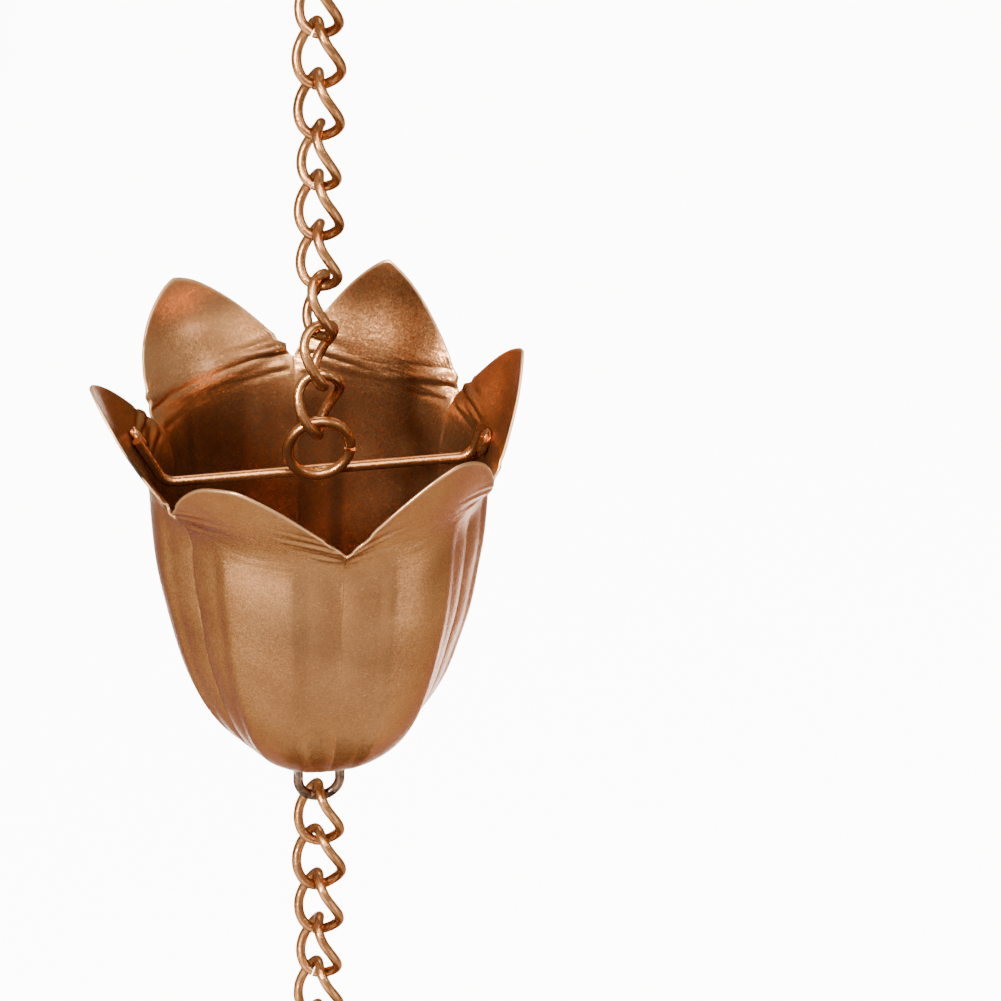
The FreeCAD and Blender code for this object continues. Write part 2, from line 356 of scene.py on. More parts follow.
@dataclass(frozen=True)
class SheetPaint(FlakePaint):
    """The same paint on pressed steel sheet, with a painted highlight on its cut edges, painted shade in its folds,
    and chips to dark steel.
    """

    # Painted highlight laid along the cut edges.
    edge_highlight_hex: str = "#D9A878"
    # Painted shade in the folds, creases and dents.
    fold_shade_hex: str = "#43200E"
    chip_hex: str = "#231812"
    wrinkle_mm: Triple = (7.0, 7.0, 1.1)
    wrinkle_detail: float = 3.0
    wrinkle_height_mm: float = 0.16

    def tone(self, tree: Tree, place: Socket, film: Socket) -> Socket:
        """Paints shade into the folds and a highlight along the cut edges, and chips the paint, by the mesh's marks.

        Args:
            tree: The material's node tree.
            place: Object coordinates in metres; not used here.
            film: The paint's colour socket.

        Returns:
            The colour socket.
        """
        # Painted shade in the folds, a painted highlight on the cut edges, and real chips.
        for mark, hex_colour in ((Mark.FOLD_SHADE, self.fold_shade_hex), (Mark.RIM_HIGHLIGHT, self.edge_highlight_hex),
                                 (Mark.CHIP, self.chip_hex)):
            factor = add_node(tree, "Attribute", attribute_name=mark.value).outputs["Fac"]
            film = mix_over(tree, film, factor, hex_colour)
        return film

    def relief(self, tree: Tree, place: Socket, normal: Socket) -> Socket:
        """Crumples the sheet finely along the bend, by the mesh's marks.

        Args:
            tree: The material's node tree.
            place: Object coordinates in metres.
            normal: The paint's normal socket.

        Returns:
            The normal socket.
        """
        crumple = add_node(tree, "Attribute", attribute_name=Mark.CRUMPLE.value).outputs["Fac"]
        stretch = tuple(1 / (size * MM) for size in self.wrinkle_mm)
        drawn = add_node(tree, "VectorMath", {0: place, 1: stretch}, operation="MULTIPLY").outputs["Vector"]
        wrinkles = add_node(tree, "TexNoise", {"Vector": drawn, "Scale": 1.0, "Detail": self.wrinkle_detail})
        creased = add_node(tree, "Math", {0: wrinkles.outputs["Fac"], 1: crumple}, operation="MULTIPLY")
        bump = add_node(tree, "Bump", {"Height": creased.outputs["Value"], "Normal": normal,
                                       "Distance": self.wrinkle_height_mm * MM})
        return bump.outputs["Normal"]


@dataclass(frozen=True)
class WornPaint(FlakePaint):
    """Copper-coloured paint on drawn steel wire, darker in some patches and rubbed through to bare bright steel in
    others.
    """

    dark_patch_hex: str = "#2E241E"
    dark_patch_span: Span = (0.5, 0.43)
    steel_hex: str = "#B9B2AA"
    steel_span: Span = (0.6, 0.65)
    patch_mm: float = 5.0
    patch_detail: float = 5.0
    patch_roughness: float = 0.65

    def tone(self, tree: Tree, place: Socket, film: Socket) -> Socket:
        """Lays dark patches and bare steel over the paint.

        Args:
            tree: The material's node tree.
            place: Object coordinates in metres.
            film: The paint's colour socket.

        Returns:
            The colour socket.
        """
        patches = add_node(tree, "TexNoise", {"Vector": place, "Scale": 1 / (self.patch_mm * MM),
                                              "Detail": self.patch_detail, "Roughness": self.patch_roughness})
        for (none, full), hex_colour in ((self.dark_patch_span, self.dark_patch_hex), (self.steel_span, self.steel_hex)):
            share = add_node(tree, "MapRange", {"Value": patches.outputs["Fac"], "From Min": none, "From Max": full})
            film = mix_over(tree, film, share.outputs["Result"], hex_colour)
        return film


def smooth_step(value: np.ndarray, start: float | np.ndarray, end: float | np.ndarray) -> np.ndarray:
    """Rises smoothly from 0 at start to 1 at end.

    Args:
        value: Where on the way each point is.
        start: Where the rise begins.
        end: Where it is complete.

    Returns:
        The share at each point.
    """
    share = np.clip((value - start) / (end - start), 0.0, 1.0)
    return share * share * (3 - 2 * share)


def hump(away: np.ndarray, width: float) -> np.ndarray:
    """Gives a bell-shaped hump, 1 in its middle.

    Args:
        away: Distance from the middle.
        width: Distance at which it has sunk to about a third.

    Returns:
        The hump's height at each point.
    """
    return np.exp(-(away / width) ** 2)


def ripple(across: np.ndarray, along: np.ndarray, wave_mm: float, seed: int) -> np.ndarray:
    """Makes smooth unevenness, about 1 high at most.

    Args:
        across: Millimetres one way over the surface.
        along: Millimetres the other way.
        wave_mm: Mean length of the waves.
        seed: Picks one of many patterns.

    Returns:
        The unevenness at each point.
    """
    chance = np.random.default_rng(seed)
    total = np.zeros(np.broadcast(across, along).shape)
    for _ in range(RIPPLE_WAVES):
        turn = chance.uniform(0, 2 * math.pi)
        wave = wave_mm * chance.uniform(*RIPPLE_LENGTHS)
        way = across * math.cos(turn) + along * math.sin(turn)
        total += np.sin(way * 2 * math.pi / wave + chance.uniform(0, 2 * math.pi))
    return total / math.sqrt(RIPPLE_WAVES) / RIPPLE_PEAK


def unit_rows(ways: np.ndarray) -> np.ndarray:
    """Brings vectors to length 1.

    Args:
        ways: Vectors along the last axis.

    Returns:
        The same directions.
    """
    return ways / np.linalg.norm(ways, axis=-1, keepdims=True)


def make_mesh(name: str, points: np.ndarray, faces: np.ndarray) -> bpy.types.Object:
    """Makes a smooth-shaded mesh object.

    Args:
        name: The object's name.
        points: Points in metres, one per row.
        faces: Four point numbers per row.

    Returns:
        The object, linked to the scene.
    """
    mesh = bpy.data.meshes.new(name)
    mesh.from_pydata(points.tolist(), [], faces.tolist())
    mesh.polygons.foreach_set("use_smooth", np.ones(len(mesh.polygons), bool))
    mesh.update()
    made = bpy.data.objects.new(name, mesh)
    bpy.context.scene.collection.objects.link(made)
    return made


def grid_faces(rows: int, columns: int) -> np.ndarray:
    """Numbers the quads of a grid whose columns close into a ring.

    Args:
        rows: Rows of points.
        columns: Points in each row.

    Returns:
        Four point numbers per row.
    """
    row, column = np.meshgrid(np.arange(rows - 1), np.arange(columns), indexing="ij")
    here = row * columns + column
    beside = row * columns + (column + 1) % columns
    return np.stack([here, beside, beside + columns, here + columns], axis=-1).reshape(-1, 4)


def grid_normals(points: np.ndarray) -> np.ndarray:
    """Finds the outward normals of a grid whose columns close into a ring.

    Args:
        points: Rows of points.

    Returns:
        A normal for each point.
    """
    sideways = np.roll(points, -1, axis=1) - np.roll(points, 1, axis=1)
    upwards = np.gradient(points, axis=0)
    normal = np.cross(sideways, upwards)
    return normal / np.maximum(np.linalg.norm(normal, axis=-1, keepdims=True), SHORTEST_NORMAL)


@dataclass(frozen=True, eq=False)
class SheetGrid:
    """A cup's outer face in rows from the drain hole to the petals' edges, in millimetres.

    Each point has its petal, its place across it from -1 to 1, its height over the notches along the sheet and
    its distance from the edge.
    """

    points: np.ndarray
    petal: np.ndarray
    across: np.ndarray
    over: np.ndarray
    edge: np.ndarray


@dataclass(frozen=True)
class Shears:
    """How the petals were cut, in millimetres: a slightly wavering edge with a torn nib beside each notch."""

    waver: float = 0.16
    waver_wave: float = 9.0
    petals_apart: float = 90.0
    notch_fade: float = 3.0
    nib_places: Span = (1.1, 2.1)
    nib_heights: Span = (0.3, 0.6)
    nib_width: float = 0.42
    bite_share: float = 0.8
    bite_offset: float = 1.1
    bite_width: float = 0.5

    def stray(self, number: int, petal: np.ndarray, across: np.ndarray, width: float) -> np.ndarray:
        """Works out how far the shears strayed from each petal's outline.

        Args:
            number: The cup's number.
            petal: Number of the petal.
            across: Place across it, from -1 to 1.
            width: Half a petal's width.

        Returns:
            Extra sheet at the edge.
        """
        inward = (1 - np.abs(across)) * width
        chance = np.random.default_rng(Seed.NIBS.value + number)
        way = across * width + self.petals_apart * petal
        total = self.waver * ripple(way, np.zeros_like(across), self.waver_wave, Seed.CUT.value + number)
        total = total * smooth_step(inward, 0.0, self.notch_fade)
        for each in range(petal.max() + 1):
            for side in SIDES:
                place = chance.uniform(*self.nib_places)
                tall = chance.uniform(*self.nib_heights)
                bite = self.bite_share * tall * hump(inward - place - self.bite_offset, self.bite_width)
                nib = tall * hump(inward - place, self.nib_width) - bite
                total = total + np.where((petal == each) & (np.sign(across) == side), nib, 0.0)
        return total


@dataclass(frozen=True)
class Bending:
    """What bending did to the sheet, in millimetres: dents, dished petals, a fold line and creases at the notches.

    A crease has its start over the notch, its reach into the petal and its depth.
    """

    dent: float = 0.2
    dent_wave: float = 26.0
    dent_fade: Span = (-95.0, -30.0)
    petals_apart: float = 90.0
    dishes: tuple[float, ...] = (0.5, 1.5, 1.2, 0.5, 0.3, 0.3)
    dish_start: float = 1.0
    fold_depths: tuple[float, ...] = (0.2, 0.22, 0.22, 0.2, 0.05, 0.05)
    fold_low: float = -2.0
    fold_bow: float = 5.5
    fold_stray: Span = (-0.8, 0.8)
    fold_middle_share: float = 0.5
    fold_width: float = 0.9
    ridge_share: float = 0.8
    ridge_drop: float = 2.3
    ridge_width: float = 1.6
    creases: tuple[Triple, ...] = ((5.2, 13.0, 0.42), (2.0, 17.0, 0.6), (-2.2, 13.0, 0.4))
    crease_rises: tuple[float, ...] = (-0.15, -0.25, -0.12, -0.1, 0.34, 0.28)
    crease_shares: tuple[float, ...] = (1.0, 1.0, 1.0, 1.0, 0.7, 0.75)
    crease_reaches: Span = (0.75, 1.25)
    crease_start_stray: Span = (-0.7, 0.7)
    crease_rise_stray: Span = (-0.08, 0.08)
    crease_widths: Span = (0.75, 1.05)
    crease_fade: Span = (0.3, 2.6)
    crease_gain: float = 1.6
    strengths: Span = (0.8, 1.2)

    def dish(self, petal: int, tall: float, sheet: SheetGrid) -> np.ndarray:
        """Dishes one petal.

        Args:
            petal: The petal's number.
            tall: The petal's length.
            sheet: The laid-out grid.

        Returns:
            Outward moves of each point.
        """
        up_petal = np.clip((sheet.over - self.dish_start) / tall, 0.0, 1.0)
        return self.dishes[petal] * (1 - np.cos(2 * math.pi * up_petal)) / 2 * (1 - sheet.across ** 2)

    def fold(self, petal: int, sheet: SheetGrid, chance: np.random.Generator) -> np.ndarray:
        """Folds one petal along a bowed line, with a low ridge under it.

        Args:
            petal: The petal's number.
            sheet: The laid-out grid.
            chance: The cup's chance.

        Returns:
            Outward moves of each point.
        """
        bow = np.abs(sheet.across) ** 2
        away = sheet.over - (self.fold_low + self.fold_bow * bow + chance.uniform(*self.fold_stray))
        depth = self.fold_depths[petal] * (self.fold_middle_share + bow) * chance.uniform(*self.strengths)
        ridge = self.ridge_share * depth * hump(away + self.ridge_drop, self.ridge_width)
        return -depth * hump(away, self.fold_width) + ridge

    def crease(self, petal: int, shape: Triple, over: np.ndarray, inward: np.ndarray,
               chance: np.random.Generator) -> np.ndarray:
        """Makes one crease that runs into a petal from its notch.

        Args:
            petal: The petal's number.
            shape: The crease's start, reach and depth.
            over: Height over the notches along the sheet.
            inward: Distance from the notch line.
            chance: The cup's chance.

        Returns:
            Outward moves of each point.
        """
        start, reach, deep = shape
        reach = reach * chance.uniform(*self.crease_reaches)
        start = start + chance.uniform(*self.crease_start_stray)
        middle = start + (self.crease_rises[petal] + chance.uniform(*self.crease_rise_stray)) * inward
        away = (over - middle) / chance.uniform(*self.crease_widths)
        fade = np.clip(1 - inward / reach, 0.0, 1.0) * smooth_step(inward, *self.crease_fade)
        wave = -self.crease_gain * away * hump(away, 1.0) * deep * self.crease_shares[petal]
        return wave * chance.uniform(*self.strengths) * fade

    def push(self, number: int, sheet: SheetGrid, petal_lengths: tuple[float, ...], width: float) -> np.ndarray:
        """Works out how far bending has pushed the sheet out.

        Args:
            number: The cup's number.
            sheet: The laid-out grid.
            petal_lengths: Each petal's length.
            width: Half a petal's width.

        Returns:
            Outward moves of each point.
        """
        inward = (1 - np.abs(sheet.across)) * width
        chance = np.random.default_rng(Seed.CREASES.value + number)
        way = sheet.across * width + self.petals_apart * sheet.petal
        total = self.dent * ripple(way, sheet.over, self.dent_wave, Seed.DENTS.value + number)
        total = total * smooth_step(sheet.over, *self.dent_fade)
        for petal, tall in enumerate(petal_lengths):
            mine = sheet.petal == petal
            total = total + np.where(mine, self.dish(petal, tall, sheet), 0.0)
            total = total + np.where(mine, self.fold(petal, sheet, chance), 0.0)
            for side in SIDES:
                for shape in self.creases:
                    wave = self.crease(petal, shape, sheet.over, inward, chance)
                    total = total + np.where(mine & (np.sign(sheet.across) == side), wave, 0.0)
        return total


@dataclass(frozen=True)
class WearAndPaintedLight:
    """Where the sheet gets its painted highlight on cut edges and painted shade in folds, and where its paint is
    chipped or crumpled, with lengths in millimetres.
    """

    # Painted highlight along the cut edges: its strength and its width.
    rim_highlight_share: float = 0.6
    rim_highlight_width: float = 0.5
    # Painted shade where the sheet is pushed in: its strength and the depth at which it is full.
    fold_shade_share: float = 0.55
    fold_shade_full_depth: float = 0.45
    chip_wave: float = 3.5
    petals_apart: float = 77.0
    chip_reach: float = 0.55
    chip_lowest: float = 3.0
    worn_level: float = 0.2
    worn_from: float = -0.2
    sound_level: float = 1.05
    chip_softness: float = 0.15
    crumple_low: float = -1.5
    crumple_bow: float = 5.0
    crumple_width: float = 7.0

    def marks(self, number: int, sheet: SheetGrid, push: np.ndarray, width: float,
              worn_petal: int) -> dict[Mark, np.ndarray]:
        """Works out what the paint shows at each point.

        Args:
            number: The cup's number.
            sheet: The laid-out grid.
            push: Outward moves of each point.
            width: Half a petal's width.
            worn_petal: The petal whose edge is chipped most.

        Returns:
            A value from 0 to 1 for each mark and point.
        """
        way = sheet.across * width + self.petals_apart * sheet.petal
        rough_edge = ripple(way, sheet.edge, self.chip_wave, Seed.CHIPS.value + number)
        worn = (sheet.petal == worn_petal) & (sheet.across > self.worn_from)
        level = np.where(worn, self.worn_level, self.sound_level)
        at_edge = (sheet.edge < self.chip_reach) & (sheet.over > self.chip_lowest)
        bend = sheet.over - (self.crumple_low + self.crumple_bow * np.abs(sheet.across) ** 2)
        return {
            # Painted highlight along the cut edge.
            Mark.RIM_HIGHLIGHT: self.rim_highlight_share * hump(sheet.edge, self.rim_highlight_width),
            # Painted shade wherever the sheet is pushed in.
            Mark.FOLD_SHADE: self.fold_shade_share * np.clip(-push / self.fold_shade_full_depth, 0.0, 1.0),
            Mark.CHIP: np.where(at_edge, smooth_step(rough_edge, level, level + self.chip_softness), 0.0),
            Mark.CRUMPLE: hump(bend, self.crumple_width),
        }


@dataclass
class FlowerCup:
    """One pressed sheet cup with six bent-out petals, in millimetres from its ring of notches.

    A petal's two fullnesses shape its outline left and right of its middle.
    """

    number: int
    depth: float = 78.0
    waist_drop: float = 12.0
    waist_radius: float = 33.9
    lobe_height: float = 1.5
    bend_length: float = 14.0
    sheet: float = 0.6
    drain_radius: float = 2.5
    wall_taper: float = 0.12
    wall_fullness: float = 0.7
    panel_height: float = 0.9
    panel_foot_deg: float = 18.0
    panel_top_deg: float = 11.0
    fade_start_deg: float = 8.0
    fade_end_deg: float = 48.0
    petal_leans_deg: tuple[float, ...] = (17.0, 11.0, 33.0, 27.0, 26.0, 22.0)
    petal_lengths: tuple[float, ...] = (22.5, 24.5, 22.5, 23.5, 22.0, 22.0)
    petal_fullnesses: tuple[Span, ...] = (
        (1.15, 1.4), (1.3, 1.3), (1.4, 1.4), (1.4, 1.15), (2.0, 1.35), (1.4, 1.7))
    notch_lean_deg: float = 48.0
    notch_lean_power: float = 4.0
    tear_depth: float = 1.6
    notch_radius: float = 0.3
    edge_bulge: float = 0.4
    turn_deg: float = 10.0
    ring_top: float = 8.9
    strips: int = 48
    strip_crowding: float = 1.4
    wall_rows: int = 42
    bend_rows: int = 32
    petal_rows: int = 60
    shears: Shears = Shears()
    bending: Bending = Bending()
    wear_and_painted_light: WearAndPaintedLight = WearAndPaintedLight()

    @property
    def half_petal(self) -> float:
        """Half of one petal's angle."""
        return math.pi / len(self.petal_leans_deg)

    @property
    def left_petal(self) -> int:
        """Number of the petal at the crossbar's left end."""
        return len(self.petal_leans_deg) // 2

    @property
    def wall_height(self) -> float:
        """Height of the wall under the waist."""
        return self.depth - self.waist_drop

    @property
    def waist_lean(self) -> float:
        """The wall's lean at the waist, in radians."""
        return math.atan(self.wall_taper * self.waist_radius / self.wall_height)

    @property
    def body(self) -> str:
        """The CAD body that the cup rides on."""
        return f"cup_{self.number}"

    @property
    def origin(self) -> Vector:
        """The middle of the ring of notches, in metres, found from the CAD's hanger ring."""
        return Vector((0, 0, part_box(f"hanger_ring_{self.number}")[1].z - self.ring_top * MM))

    def wall_radius(self, angle: np.ndarray) -> np.ndarray:
        """Gives the wall's radius in a notch line.

        Args:
            angle: From 0 at the bottom to a right angle at the waist.

        Returns:
            The radius at each angle.
        """
        round_part = (1 - self.wall_taper) * np.sin(angle) ** self.wall_fullness
        return self.waist_radius * (round_part + self.wall_taper * (1 - np.cos(angle)))

    def wall_angle(self, radius: float) -> float:
        """Finds where the wall has a radius.

        Args:
            radius: The radius.

        Returns:
            The wall's angle there.
        """
        angles = np.linspace(0, math.pi / 2, WALL_STEPS)
        return float(np.interp(radius, self.wall_radius(angles), angles))

    def petal_line(self, rise: np.ndarray, lean: np.ndarray) -> tuple[np.ndarray, np.ndarray]:
        """Follows the bent-out sheet.

        Args:
            rise: Length of sheet above the waist.
            lean: Lean from the vertical past the bend, in radians.

        Returns:
            Radius and height.
        """
        first = self.waist_lean
        bend_radius = self.bend_length / (lean - first)
        bend = np.minimum(rise, self.bend_length)
        angle = first + bend / bend_radius
        radius = self.waist_radius + bend_radius * (math.cos(first) - np.cos(angle))
        height = -self.waist_drop + bend_radius * (np.sin(angle) - math.sin(first))
        return radius + (rise - bend) * np.sin(angle), height + (rise - bend) * np.cos(angle)

    def lobe(self, offset: np.ndarray) -> np.ndarray:
        """Gives the share of the lobe's height.

        Args:
            offset: Angle from a petal's middle.

        Returns:
            1 at a petal's middle and 0 in the notch lines.
        """
        flat = math.cos(self.half_petal)
        return (1 - flat / np.cos(offset)) / (1 - flat)

    def grid(self) -> SheetGrid:
        """Lays the sheet's outer face out in rows from the drain hole to the petals' edges.

        Returns:
            The laid-out grid.
        """
        petals = len(self.petal_leans_deg)
        petal = np.repeat(np.arange(petals), self.strips)
        even = np.tile(np.arange(self.strips) / self.strips * 2 - 1, petals)
        across = np.sign(even) * (1 - (1 - np.abs(even)) ** self.strip_crowding)
        offset = across * self.half_petal
        drain = self.wall_angle(self.drain_radius)
        wall_run = self.wall_height * (math.pi / 2 - drain)
        notch_rise = self.waist_drop / math.cos(self.waist_lean)
        notch = wall_run + notch_rise
        petal_part = 1 - np.abs(across) ** np.array(self.petal_fullnesses)[petal, (across > 0).astype(int)]
        tall = np.maximum(np.array(self.petal_lengths)[petal] * petal_part, self.notch_radius)
        wall = np.linspace(0, wall_run, self.wall_rows, endpoint=False)
        bend = np.linspace(wall_run, notch, self.bend_rows, endpoint=False)
        low = np.broadcast_to(np.concatenate([wall, bend])[:, None], (self.wall_rows + self.bend_rows, len(across)))
        even_length = np.concatenate([low, notch + np.linspace(0, 1, self.petal_rows)[:, None] * tall])
        stray = self.shears.stray(self.number, petal, across, self.half_petal * self.waist_radius)
        length = even_length + stray * np.exp((even_length - notch - tall) / self.tear_depth)
        own_lean = np.array(self.petal_leans_deg)[petal] - self.notch_lean_deg
        lean = np.radians(self.notch_lean_deg + own_lean * (1 - np.abs(across) ** self.notch_lean_power))
        angle = np.minimum(drain + length / self.wall_height, math.pi / 2)
        rise = np.maximum(length - wall_run, 0.0)
        petal_radius, petal_height = self.petal_line(rise, lean)
        on_wall = length < wall_run
        radius = np.where(on_wall, self.wall_radius(angle), petal_radius)
        height = np.where(on_wall, -self.waist_drop - self.wall_height * np.cos(angle), petal_height)
        fade = smooth_step(np.degrees(angle), self.fade_start_deg, self.fade_end_deg)
        panel = 1 - smooth_step(np.abs(np.degrees(offset)), self.panel_top_deg, self.panel_foot_deg)
        panel_fade = fade * (1 - smooth_step(rise, 0.0, notch_rise))
        radius = radius + fade * self.lobe_height * self.lobe(offset) + panel_fade * self.panel_height * panel
        azimuth = 2 * self.half_petal * petal + offset
        return SheetGrid(
            points=np.stack([radius * np.cos(azimuth), radius * np.sin(azimuth), height], axis=-1),
            petal=np.broadcast_to(petal, length.shape),
            across=np.broadcast_to(across, length.shape),
            over=length - wall_run - notch_rise,
            edge=notch + tall + stray - length,
        )

    def build(self) -> bpy.types.Object:
        """Makes the sheet: outer face, rounded edges and inner face, with the paint's marks.

        Returns:
            The cup's object, in the row frame.
        """
        sheet = self.grid()
        lobe_width = self.half_petal * (self.waist_radius + self.lobe_height)
        push = self.bending.push(self.number, sheet, self.petal_lengths, lobe_width)
        outer = sheet.points + grid_normals(sheet.points) * push[..., None]
        inner = outer - grid_normals(outer) * self.sheet
        bulge = self.edge_bulge * self.sheet
        rim = (outer[-1] + inner[-1]) / 2 + unit_rows(outer[-1] - outer[-2]) * bulge
        hole = (outer[0] + inner[0]) / 2 + unit_rows(outer[0] - outer[1]) * bulge
        loops = np.concatenate([outer, rim[None], inner[::-1], hole[None]])
        rows, columns = loops.shape[:2]
        first = np.arange(columns)
        last = first + (rows - 1) * columns
        closing = np.stack([last, np.roll(last, -1), np.roll(first, -1), first], axis=-1)
        turn = math.radians(self.turn_deg)
        spin = np.array([[math.cos(turn), -math.sin(turn), 0], [math.sin(turn), math.cos(turn), 0], [0, 0, 1]])
        points = loops.reshape(-1, 3) @ spin.T * MM + np.array(self.origin)
        faces = np.concatenate([grid_faces(rows, columns), closing])
        made = make_mesh(f"petal_cup_{self.number}", points, faces)
        waist_width = self.half_petal * self.waist_radius
        for mark, value in self.wear_and_painted_light.marks(self.number, sheet, push, waist_width, self.left_petal).items():
            whole = np.concatenate([value, value[-1:], value[::-1], value[:1]]).reshape(-1)
            attribute = made.data.attributes.new(mark.value, "FLOAT", "POINT")
            attribute.data.foreach_set("value", whole.astype(np.float32))
        return made

    def dress(self, finish: bpy.types.Material) -> None:
        """Builds the sheet, paints it and lets it stand for the CAD's cup.

        Args:
            finish: The sheet's paint.
        """
        made = self.build()
        set_material(made, finish)
        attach(made, self.body)
        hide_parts(f"cup_{self.number}")
        log.info("%s: %d faces", made.name, len(made.data.polygons))


@dataclass(frozen=True)
class Bead:
    """One weld bead, in millimetres from its cup's origin, before the cup's turn.

    Its size is half its length, width and height, and its axis is the way that its length runs.
    """

    name: str
    centre: Vector
    axis: Vector
    size: Triple


@dataclass
class Welds:
    """The weld beads of one cup: crossbar to petals, ring to crossbar, eye to bottom."""

    cup: FlowerCup
    bar_wire: float = 2.3
    bar_drop: float = 6.2
    bar_tips: Span = (1.0, 5.0)
    bar_turn_deg: float = -5.0
    bar_share: float = 0.3
    ring_wire: float = 2.4
    ring_lift: float = 0.5
    eye_radius: float = 4.6
    weld_gap: float = 0.3
    tip_drop: float = 1.8
    tip_bead: Triple = (3.2, 1.9, 1.3)
    ring_bead: Triple = (2.2, 1.0, 0.9)
    eye_bead: Triple = (1.75, 1.75, 0.75)
    eye_sink: float = 0.35
    around: int = 22
    rings: int = 14
    pole_gap: float = 0.02
    lump: float = 0.22
    lump_reach: Triple = (3.0, 3.0, 2.0)
    lump_wave: float = 2.4
    seeds_per_cup: int = 10

    def build(self, bead: Bead, seed: int) -> bpy.types.Object:
        """Makes one lumpy bead.

        Args:
            bead: The bead.
            seed: Picks the lumps.

        Returns:
            The bead's object, in the row frame.
        """
        fall, turn = np.meshgrid(np.linspace(self.pole_gap, math.pi - self.pole_gap, self.rings),
                                 np.arange(self.around) * 2 * math.pi / self.around, indexing="ij")
        unit = np.stack([np.cos(fall), np.sin(fall) * np.cos(turn), np.sin(fall) * np.sin(turn)], axis=-1)
        reach_x, reach_y, reach_z = self.lump_reach
        way = unit[..., 0] * reach_x + unit[..., 2] * reach_z
        lumps = 1 + self.lump * ripple(way, unit[..., 1] * reach_y, self.lump_wave, seed)
        local = unit * lumps[..., None] * np.array(bead.size)
        lie = bead.axis.to_track_quat("X", "Z").to_matrix()
        turned = Matrix.Rotation(math.radians(self.cup.turn_deg), 3, "Z")
        points = (local.reshape(-1, 3) @ np.array(lie).T + np.array(bead.centre)) @ np.array(turned).T
        faces = grid_faces(self.rings, self.around)
        name = f"{bead.name}_{self.cup.number}"
        return make_mesh(name, points * MM + np.array(self.cup.origin), faces)

    def beads(self) -> list[Bead]:
        """Places the beads.

        Returns:
            The beads at the crossbar's ends, at the ring and at the eye.
        """
        cup = self.cup
        behind = (self.ring_wire + self.bar_wire) / 2 + self.weld_gap
        turned = Matrix.Rotation(math.radians(self.bar_turn_deg), 3, "Z")
        along_x = Vector((1, 0, 0))
        found = []
        for side, petal, tip, word in ((1, 0, self.bar_tips[0], "right"),
                                       (-1, cup.left_petal, self.bar_tips[1], "left")):
            lean = math.radians(cup.petal_leans_deg[petal])
            radius, height = (float(v) for v in cup.petal_line(np.array(cup.bend_length), np.array(lean)))
            inward = (cup.sheet + self.weld_gap + self.bar_share * self.bar_wire) / math.cos(lean)
            axis = Vector((side * math.sin(lean), 0, math.cos(lean)))
            middle = tip - self.tip_drop
            away = radius + cup.lobe_height - inward + (middle - height) * math.tan(lean)
            centre = Vector((side * away, behind, middle))
            found.append(Bead(f"weld_{word}", turned @ centre, turned @ axis, self.tip_bead))
        centre = Vector((0, behind / 2, -self.bar_drop + self.ring_lift / 2))
        found.append(Bead("weld_ring", turned @ centre, turned @ along_x, self.ring_bead))
        foot = -cup.waist_drop - cup.wall_height * math.cos(cup.wall_angle(self.eye_radius))
        for side, word in ((1, "right"), (-1, "left")):
            centre = Vector((side * self.eye_radius, 0, foot - self.eye_sink))
            found.append(Bead(f"weld_eye_{word}", centre, along_x, self.eye_bead))
        return found

    def dress(self, finish: bpy.types.Material) -> None:
        """Builds and paints the beads.

        Args:
            finish: The wire's paint.
        """
        beads = self.beads()
        first_seed = Seed.BEADS.value + self.seeds_per_cup * self.cup.number
        for seed, bead in enumerate(beads, first_seed):
            made = self.build(bead, seed)
            set_material(made, finish)
            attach(made, self.cup.body)
        log.info("cup %d: %d welds", self.cup.number, len(beads))


@dataclass
class WireWork:
    """The chain's wire pieces, which keep the CAD's shape."""

    wire: bpy.types.Material
    eye: bpy.types.Material

    def dress(self) -> None:
        """Paints every link, ring, crossbar and eye."""
        slots = {part["node"]: part["material_slot"] for part in frame["record"]["subparts"]}
        finishes = {Slot.WIRE.value: self.wire, Slot.EYE.value: self.eye}
        for node, slot in slots.items():
            if slot in finishes:
                set_material(frame["nodes"][node], finishes[slot])
        log.info("wire pieces: %d", sum(slot in finishes for slot in slots.values()))


@dataclass(frozen=True)
class Softbox:
    """One area light: its place and aim in metres, its size, its watts and how wide its grid lets the light out."""

    name: str
    place: Triple
    aim: Triple
    size: Span
    power: float
    spread_deg: float = 180.0

    def hang(self) -> None:
        """Puts the light in the scene, out of the camera's sight."""
        lamp = bpy.data.lights.new(self.name, "AREA")
        lamp.shape = "RECTANGLE"
        lamp.size, lamp.size_y = self.size
        lamp.energy = self.power
        lamp.spread = math.radians(self.spread_deg)
        made = bpy.data.objects.new(self.name, lamp)
        made.location = self.place
        made.rotation_euler = (Vector(self.aim) - Vector(self.place)).to_track_quat("-Z", "Y").to_euler()
        made.visible_camera = False
        bpy.context.scene.collection.objects.link(made)


CHAIN_AIM: Triple = (0.0, 0.0, -0.5)
CUP_AIM: Triple = (0.0, 0.0, -0.35)
SOFTBOXES = (
    Softbox("softbox_left", (-0.6, -0.6, -0.72), CHAIN_AIM, (1.1, 0.75), 8.5),
    Softbox("softbox_front", (-0.06, -0.95, -0.8), CHAIN_AIM, (0.4, 0.65), 2.2),
    Softbox("softbox_right", (0.72, -0.42, -0.72), CHAIN_AIM, (0.45, 0.75), 3.6),
    Softbox("softbox_key", (-0.7, -1.1, 0.45), CUP_AIM, (0.25, 0.25), 3.8, 40.0),
    Softbox("kicker_right", (0.95, -0.28, 0.32), CUP_AIM, (0.2, 0.2), 0.2, 60.0),
    Softbox("softbox_top", (0.1, -0.45, 0.35), CUP_AIM, (0.5, 0.5), 2.2, 70.0),
    Softbox("softbox_back", (0.0, 0.7, 0.5), CUP_AIM, (0.5, 0.5), 0.3, 40.0),
)


